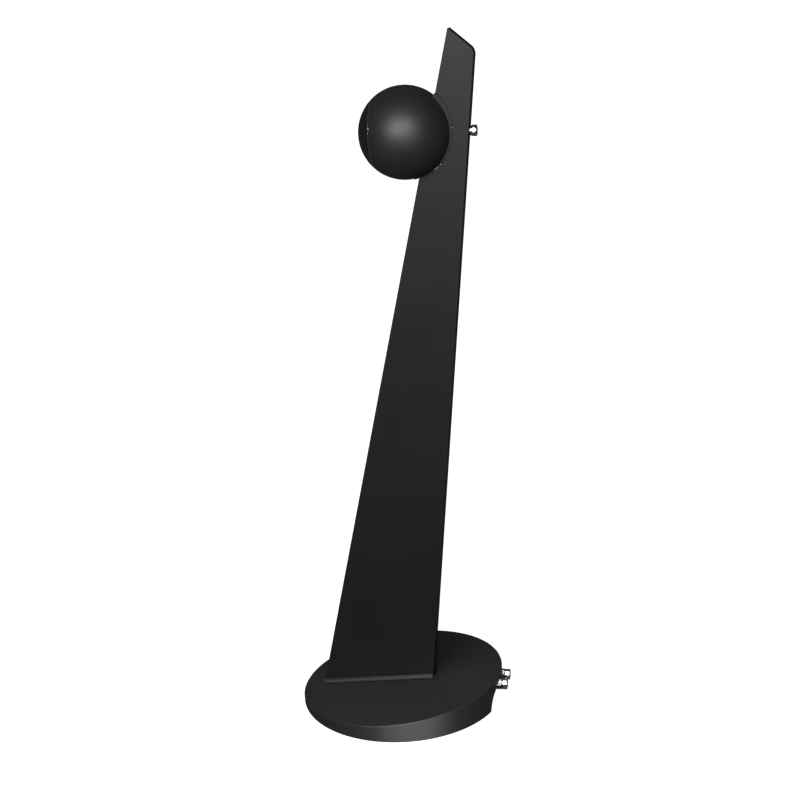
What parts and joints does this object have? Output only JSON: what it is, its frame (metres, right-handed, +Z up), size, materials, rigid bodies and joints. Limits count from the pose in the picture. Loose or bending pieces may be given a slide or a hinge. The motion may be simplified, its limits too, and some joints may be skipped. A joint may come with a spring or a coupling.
{
  "type": "floor-standing spherical loudspeaker",
  "caption": "Small spherical loudspeaker with a domed grille, seated in a round notch of a tall tapered blade on a sloped round base with binding posts.",
  "frame": {"origin": "on the floor, under the centre of the round base", "axes": "+Z up; the loudspeaker faces -Y; the blade stands in the plane X = 0"},
  "size_m": [0.304, 0.3154, 0.9854],
  "materials": {
    "satin_black": "satin powder coat, fine orange peel",
    "blade_black": "satin black powder coat on aluminium plate",
    "ball_black": "smooth satin lacquer",
    "grille_black": "matt black perforated sheet",
    "chrome": "polished chrome plate",
    "dark_chrome": "black chrome plate on a moulded grip",
    "dark_plastic": "moulded black plastic",
    "rubber": "soft black rubber",
    "steel": "zinc plated steel",
    "brass": "machined brass",
    "iron": "black cast iron",
    "ferrite": "sintered ferrite",
    "paper": "pressed paper pulp",
    "copper": "wound copper wire",
    "wool": "bonded fibre and treated cloth"
  },
  "bodies": {
    "stand": {"base_body": "satin_black", "base_ballast": "iron", "base_cover": "dark_plastic", "cover_screw_1": "steel", "cover_screw_2": "steel", "cover_screw_3": "steel", "cover_screw_4": "steel", "base_pad": "rubber", "foot_plate": "blade_black", "blade": "blade_black", "blade_bolt_1": "steel", "blade_bolt_2": "steel", "blade_bolt_3": "steel", "cradle_liner": "rubber", "cradle_stud_upper_right": "chrome", "cradle_stud_upper_left": "chrome", "cradle_stud_lower_right": "chrome", "cradle_stud_lower_left": "chrome", "speaker_lead": "dark_plastic", "post_bush_left": "dark_plastic", "post_shaft_left": "brass", "post_tag_left": "brass", "post_inner_nut_left": "steel", "post_bush_right": "dark_plastic", "post_shaft_right": "brass", "post_tag_right": "brass", "post_inner_nut_right": "steel"},
    "ball": {"ball_shell": "ball_black", "ball_insert": "brass", "grille_ring": "chrome", "grille_dome": "grille_black", "driver_basket": "iron", "driver_screw_1": "steel", "driver_screw_2": "steel", "driver_screw_3": "steel", "driver_screw_4": "steel", "driver_top_plate": "steel", "driver_magnet": "ferrite", "driver_pole": "steel", "damping_wad": "wool", "surround": "rubber", "spider": "wool"},
    "driver_cone": {"cone": "paper", "dust_cap": "paper", "voice_coil": "copper"},
    "screw_washer": {"thumb_screw_washer": "steel"},
    "thumb_screw": {"thumb_screw_knob": "chrome", "thumb_screw_shaft": "steel"},
    "post_left_washer": {"post_washer_left": "chrome"},
    "post_left_nut": {"post_grip_left": "dark_chrome", "post_cap_left": "chrome"},
    "post_right_washer": {"post_washer_right": "chrome"},
    "post_right_nut": {"post_grip_right": "dark_chrome", "post_cap_right": "chrome"}
  },
  "joints": [
    {"name": "ball_roll", "type": "hinge", "parent": "stand", "child": "ball", "pos_m": [0, 0.0494, 0.8503], "axis": [0, 1, 0], "range_deg": [-30, 30]},
    {"name": "cone_travel", "type": "slide", "parent": "ball", "child": "driver_cone", "axis": [0, -1, 0], "range_m": [-0.002, 0.002], "stiffness_N_per_m": 1500},
    {"name": "screw_washer_slide", "type": "slide", "parent": "stand", "child": "screw_washer", "axis": [0, 1, 0], "range_m": [0, 0.008]},
    {"name": "thumb_screw_turn", "type": "hinge", "parent": "screw_washer", "child": "thumb_screw", "pos_m": [0, 0.1434, 0.8503], "axis": [0, 1, 0], "range_deg": [0, 2880]},
    {"name": "post_left_slide", "type": "slide", "parent": "stand", "child": "post_left_washer", "axis": [0, 1, 0], "range_m": [0, 0.005]},
    {"name": "post_left_turn", "type": "hinge", "parent": "post_left_washer", "child": "post_left_nut", "pos_m": [-0.015, 0.155, 0.03], "axis": [0, 1, 0], "range_deg": [0, 1800]},
    {"name": "post_right_slide", "type": "slide", "parent": "stand", "child": "post_right_washer", "axis": [0, 1, 0], "range_m": [0, 0.005]},
    {"name": "post_right_turn", "type": "hinge", "parent": "post_right_washer", "child": "post_right_nut", "pos_m": [0.015, 0.155, 0.03], "axis": [0, 1, 0], "range_deg": [0, 1800]}
  ],
  "couplings": [
    {"joint": "screw_washer_slide", "follows": "thumb_screw_turn", "m_per_rad": 0.00015915},
    {"joint": "post_left_slide", "follows": "post_left_turn", "m_per_rad": 0.00015915},
    {"joint": "post_right_slide", "follows": "post_right_turn", "m_per_rad": 0.00015915}
  ]
}
